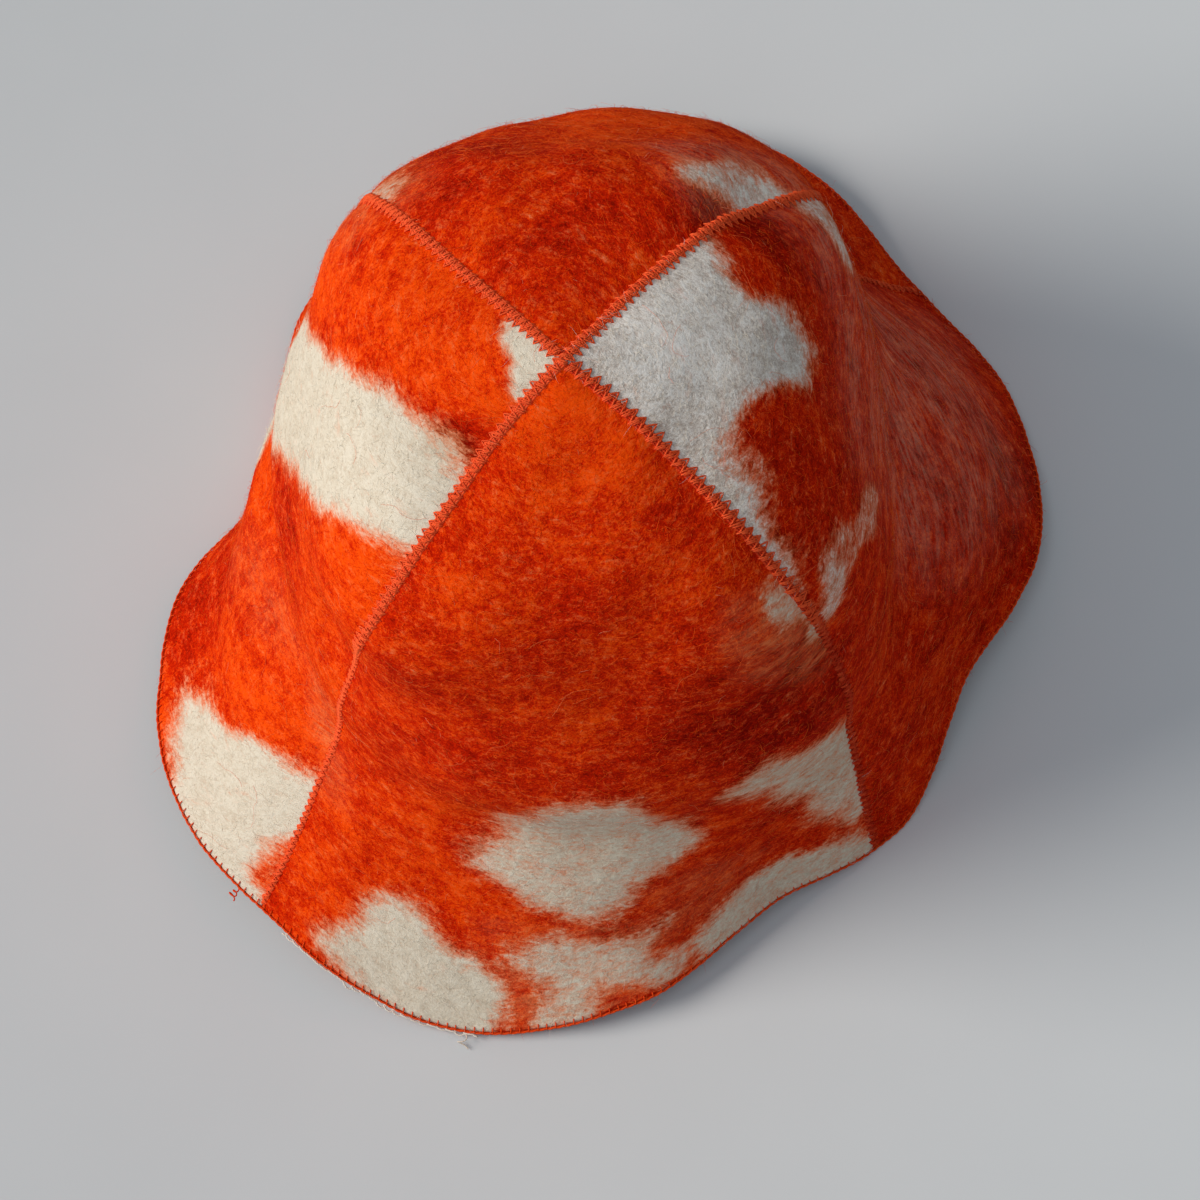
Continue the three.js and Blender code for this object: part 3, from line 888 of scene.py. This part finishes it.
# low width says how much narrower the stitches lie lower down; low tone paints them darker there, painted
# shade on the two right seams, which face away from the light
seamKinds = {
    "back_left": {
        "pitch": 2.9, "reach": 2.5, "teethTo": 1, "startAt": 1.0, "lowWidth": 0.62, "lowPaintedShade": 0.0},
    "front_left": {
        "pitch": 2.9, "reach": 2.4, "teethTo": -1, "startAt": -1.5, "lowWidth": 0.62, "lowPaintedShade": 0.0},
    "front_right": {
        "pitch": 3.2, "reach": 2.9, "teethTo": 1, "startAt": 1.0, "lowWidth": 0.78, "lowPaintedShade": -0.60},
    "back_right": {
        "pitch": 2.8, "reach": 2.6, "teethTo": -1, "startAt": -1.5, "lowWidth": 0.70, "lowPaintedShade": -0.35},
}


def seamLine(seam):
    # length down a seam with its points, normals, side ways and levels
    levels = np.linspace(0.004, seamStitch["endLevel"], 1600)
    line, normal, side, _ = felt(hat["seams"][seam][0], levels)
    return lengthAlong(line), np.column_stack([line, normal, side, levels])


def onLine(run, table, along, across, height):
    # across and over a seam, on the risen or sunken felt beside it
    row = np.stack([np.interp(along, run, column) for column in table.T], -1)
    start = table[8, :3] - table[0, :3]
    at = row[..., :3] + np.minimum(along, 0)[..., None] * start / np.linalg.norm(start)
    rise = seamRise(row[..., 9]) * np.exp(-((across / goreCut["seamRiseWidth"]) ** 2))
    normal, side = row[..., 3:6], row[..., 6:9]
    return at + side * across[..., None] + normal * (height + rise)[..., None], normal


def makeSeam(seam):
    run, table = seamLine(seam)
    kind = seamKinds[seam]
    way, pitch, lowWidth = kind["teethTo"], kind["pitch"], kind["lowWidth"]
    random = np.random.default_rng(abs(hat["seams"][seam][0]) + way)
    starts = np.arange(kind["startAt"], run[-1] - pitch, pitch)
    count = len(starts)
    starts = (starts + random.normal(0, seamStitch["uneven"], count))[:, None]
    flat = flatness(np.interp(starts, run, table[:, 9]))
    high, low = seamStitch["ridge"]
    ridge = high + (low - high) * flat
    parts = []

    def lay(along, across, height, tone):
        # one thread of every stitch
        narrow = 1 + (lowWidth - 1) * flat
        along, across, height = np.broadcast_arrays(along, across * narrow, height)
        path, up = onLine(run, table, along, way * across, height)
        spread = random.normal(0, seamStitch["toneSpread"], count)
        # random tone for each stitch, with the painted shade of the lower right seams
        tones = np.clip(tone + kind["lowPaintedShade"] * flat[:, 0] + spread, 0, 1)
        parts.append(tubes(path, seamStitch["thread"], up, 4, tones))

    def arch(across, near):
        # nearly level over the ridge, then steep down to the felt
        return ridge * (1 - 1.15 * np.abs((across + 0.3) / (near - 0.3)) ** 3)

    # cores that fill the join under the strands
    along = np.linspace(starts[0, 0], run[-1], int(run[-1] / 1.5))[None]
    level = flatness(np.interp(along, run, table[:, 9]))
    for across, height in seamStitch["cores"]:
        lift = height - seamStitch["coreSink"] * level + 0.05 * np.sin(along * 3.1 + across)
        path, up = onLine(run, table, along, way * across * (1 + (lowWidth - 1) * level), lift)
        # the cores take the painted shade of the lower right seams too
        tone = seamStitch["coreTone"] + kind["lowPaintedShade"]
        parts.append(tubes(path, seamStitch["coreRadius"], up, 4, tone))
    # teeth: from the ridge out to a point and home again, two threads side by side
    t = np.linspace(0, 1, 9)
    swing = 1 - np.abs(2 * t - 1) ** 1.1
    for share, base, tone in seamStitch["teeth"]:
        reach = kind["reach"] * share * random.uniform(*seamStitch["toothSpread"], (count, 1))
        lean = random.normal(0, 0.05, (count, 1))
        across = swing * (reach - 0.2) + 0.2
        height = (ridge - 0.26) * np.exp(-((across / 1.5) ** 2)) - 0.22 * swing**6 + 0.16
        turn = (seamStitch["toothTip"] + lean) * swing
        lay(starts + (0.5 + base * (t - 0.5) + turn) * pitch, across, height, tone)
    # bright strands slanting over the ridge
    t = np.linspace(0, 1, 7)
    begin, over = seamStitch["slant"]
    for offset, lift, tone, share in seamStitch["strands"]:
        near = seamStitch["nearReach"] * share * random.uniform(*seamStitch["strandSpread"], (count, 1))
        across = -near + (near + seamStitch["farReach"]) * t
        slant = begin + over * t + random.normal(0, 0.03, (count, 1))
        lay(starts + offset + slant * pitch, across, arch(across, near) + lift, tone)
    # darker ones returning between them, painted shade for the threads that lie lower
    lift, tone, share = seamStitch["returns"]
    near = seamStitch["nearReach"] * share
    across = -near + (near + seamStitch["farReach"]) * t
    lay(starts + (1.0 - 0.2 * t) * pitch, across, arch(across, near) + lift, tone)
    piece = tubePiece("seam" + seam.title().replace("_", ""), parts, coralThread)
    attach(piece, "root")
    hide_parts("seam_" + seam)


for seam in hat["seams"]:
    makeSeam(seam)
print("seams stitched")

# overlocked hem
hemStitch = {
    "pitch": 2.9,
    "thread": 0.21,  # radius
    "uneven": 0.12,
    "tone": (0.70, 0.12),  # middle and spread
    "toothLength": (0.86, 1.1),
    "slant": 0.35,
    "ropeRadius": 0.42,
    "ropeTone": 0.62,
    "ropeSwing": (0.12, 0.10),  # up and out
    # height over the edge, way out from the face, turn, thickness
    "ropes": [(0.15, 0.10, 0.0, 0.8), (-0.18, -0.75, 2.1, 1.1), (-0.15, -2.0, 4.2, 1.1)],
    "paleSpan": (-41, -15),  # azimuths between which the pale looper thread shows
    "paleRadius": 0.30,
    "tailRadius": 0.22,
}
# up from the edge and out from the face, from the tooth's tip under the edge to the inside
hemWrap = np.array([
    (2.1, -0.16), (1.9, 0.16), (1.3, 0.26), (0.5, 0.30), (-0.15, 0.0), (-0.45, -0.8),
    (-0.45, -1.9), (-0.25, -2.6), (0.4, -3.0), (1.4, -3.05), (2.2, -2.6),
])


def hemFrame(azimuth):
    at, normal, _, low = felt(azimuth, 1.0)
    return at, normal, low


def hemRun(start, end, steps):
    # azimuths along the hem with the length travelled at each
    fine = np.linspace(start, end, steps)
    return fine, lengthAlong(hemFrame(fine)[0])


def makeHem(panel):
    start = gores[panel]["start"]
    fine, run = hemRun(start, start + 90, 900)
    count = int(run[-1] / hemStitch["pitch"])
    random = np.random.default_rng(gores[panel]["seed"] + 50)
    starts = (np.arange(count) + 0.5) * run[-1] / count + random.normal(0, hemStitch["uneven"], count)
    lengths = random.uniform(*hemStitch["toothLength"], count)
    along = starts[:, None] + np.linspace(-hemStitch["slant"], hemStitch["slant"], len(hemWrap))
    at, normal, low = hemFrame(np.interp(along, run, fine))
    up = np.where(hemWrap[:, 0] > 0, hemWrap[:, 0] * lengths[:, None], hemWrap[:, 0])
    path = at - low * up[..., None] + normal * hemWrap[:, 1, None]
    tones = np.clip(random.normal(*hemStitch["tone"], count), 0, 1)
    parts = [tubes(path, hemStitch["thread"], normal + low * 0.4, 4, tones)]
    # ropes lying along the edge, waving over each stitch
    along = np.linspace(0, run[-1], count * 7 + 1)
    at, normal, low = hemFrame(np.interp(along, run, fine))
    swingUp, swingOut = hemStitch["ropeSwing"]
    for height, outAt, phase, thick in hemStitch["ropes"]:
        turn = along / run[-1] * count * 2 * math.pi + phase
        path = at - low * (height + swingUp * np.sin(turn))[:, None]
        path = path + normal * (outAt + swingOut * np.cos(turn))[:, None]
        radius = hemStitch["ropeRadius"] * thick
        parts.append(tubes(path[None], radius, normal[None], 5, hemStitch["ropeTone"]))
    piece = tubePiece("hem" + panel.capitalize(), parts, hemThread)
    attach(piece, "root")
    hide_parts("hem_" + panel)
    return piece


hemPieces = {panel: makeHem(panel) for panel in gores}


def makePaleLooper():
    # pale looper thread that shows as small loops along the front left edge
    fine, run = hemRun(*hemStitch["paleSpan"], 500)
    count = int(run[-1] / hemStitch["pitch"])
    along = np.linspace(0, run[-1], count * 14 + 1)
    turn = along / run[-1] * count * 2 * math.pi
    random = np.random.default_rng(5)
    swell = np.interp(along, np.linspace(0, run[-1], count + 1), random.uniform(0.3, 1.0, count + 1))
    at, normal, low = hemFrame(np.interp(along + 0.9 * np.sin(turn), run, fine))
    height = -0.42 - 1.3 * swell**3 * (0.5 + 0.5 * np.cos(turn))
    path = at - low * height[:, None] + normal * (0.05 + 0.45 * swell * np.cos(turn))[:, None]
    loops = tubes(path[None], hemStitch["paleRadius"], normal[None], 5, 0.8)
    piece = tubePiece("looperFrontLeft", [loops], paleThread)
    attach(piece, "root")


def makeTail(name, azimuth, loops, size, material):
    # a loose end of thread curling out from the hem
    at, normal, low = [value[0] for value in hemFrame(np.array([float(azimuth)]))]
    side = np.cross(normal, low)
    t = np.linspace(0, 1, 60)
    turn = 2 * math.pi * loops * t
    path = (
        at
        + np.outer(0.3 + size * t, low + normal * 0.35)
        + np.outer(size * 0.36 * np.sin(turn) * (0.4 + t), side)
        + np.outer(size * 0.22 * (1 - np.cos(turn)), normal)
    )
    piece = tubePiece(name, [tubes(path[None], hemStitch["tailRadius"], normal, 6)], material)
    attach(piece, "root")


makePaleLooper()
makeTail("tailLeft", -48.5, 2.3, 3.2, hemThread)
makeTail("tailFront", -16.6, 1.2, 4.2, paleThread)
print("hem stitched")

# table, light and camera
studio = {
    "tableSize": 30.0,
    "skyColour": (0.78, 0.90, 1.0),
    "skyStrength": 0.29,
    "lampsAim": (0, 0, 0.1),
}
softboxes = {
    "keySoftbox": {
        "azimuth": -88, "elevation": 34, "distance": 1.8, "size": 1.1, "power": 27.5,
        "colour": (1.0, 0.96, 0.90)},
    "fillSoftbox": {
        "azimuth": -20, "elevation": 70, "distance": 1.8, "size": 1.2, "power": 3.5,
        "colour": (0.9, 0.95, 1.0)},
}


def makeTable():
    # painted darker on the left, where the key light falls strongest, and lighter on the right, painted
    # light that lifts the hat's shadow and the lamp's fall-off there
    nodes = Nodes("paleTable")
    where = nodes.onObject()
    aside, _ = nodes.split(where)
    tone = nodes.weigh([(nodes.noise(where, (1, 1, 1), 4.0, scale=14.0), 0.06), (aside, 1.0)], 0.47)
    shade = nodes.shades(tone, (0.2, 0.8), ("tableLeft", "tableRight"))
    half = studio["tableSize"] / 2 / mm
    corners = [(-half, -half, 0), (half, -half, 0), (half, half, 0), (-half, half, 0)]
    table = newPiece("table", corners, [[[0, 1, 2, 3]]], nodes.finish(shade, 0.9, 0.5), False)


def outward(azimuth, elevation):
    a, e = math.radians(azimuth), math.radians(elevation)
    return Vector((math.sin(a) * math.cos(e), -math.cos(a) * math.cos(e), math.sin(e)))


def addSoftbox(name, azimuth, elevation, distance, size, power, colour):
    lamp = bpy.data.lights.new(name, "AREA")
    lamp.shape = "DISK"
    lamp.size = size
    lamp.energy = power
    lamp.color = colour
    box = bpy.data.objects.new(name, lamp)
    back = outward(azimuth, elevation)
    box.location = back * distance + Vector(studio["lampsAim"])
    box.rotation_euler = back.to_track_quat("Z", "Y").to_euler()
    scene.collection.objects.link(box)


def addSky():
    world = bpy.data.worlds.new("studioSky")
    world.use_nodes = True
    background = world.node_tree.nodes["Background"]
    background.inputs["Color"].default_value = (*studio["skyColour"], 1)
    background.inputs["Strength"].default_value = studio["skyStrength"]
    scene.world = world


viewpoint = {
    "azimuth": 11, "elevation": 70, "roll": 13.7, "distance": 965, "target": (-1.5, -30, 74),
    "lens": 96, "sensor": 36,
}


def addCamera():
    roll = math.radians(viewpoint["roll"])
    back = outward(viewpoint["azimuth"], viewpoint["elevation"])
    right = outward(viewpoint["azimuth"] + 90, 0)
    up = back.cross(right)
    rolledRight = right * math.cos(roll) - up * math.sin(roll)
    rolledUp = right * math.sin(roll) + up * math.cos(roll)
    place = (Vector(viewpoint["target"]) + Vector(centreShift) + back * viewpoint["distance"]) * mm
    lens = bpy.data.cameras.new("viewCamera")
    lens.lens = viewpoint["lens"]
    lens.sensor_width = viewpoint["sensor"]
    lens.clip_start = 0.01
    camera = bpy.data.objects.new("viewCamera", lens)
    axes = Matrix((rolledRight, rolledUp, back)).transposed()
    camera.matrix_world = Matrix.Translation(place) @ axes.to_4x4()
    scene.collection.objects.link(camera)
    scene.camera = camera


makeTable()
addSky()
for name, softbox in softboxes.items():
    addSoftbox(name, **softbox)
addCamera()
scene.view_settings.view_transform = "Standard"
print("studio ready")

bpy.context.view_layer.update()
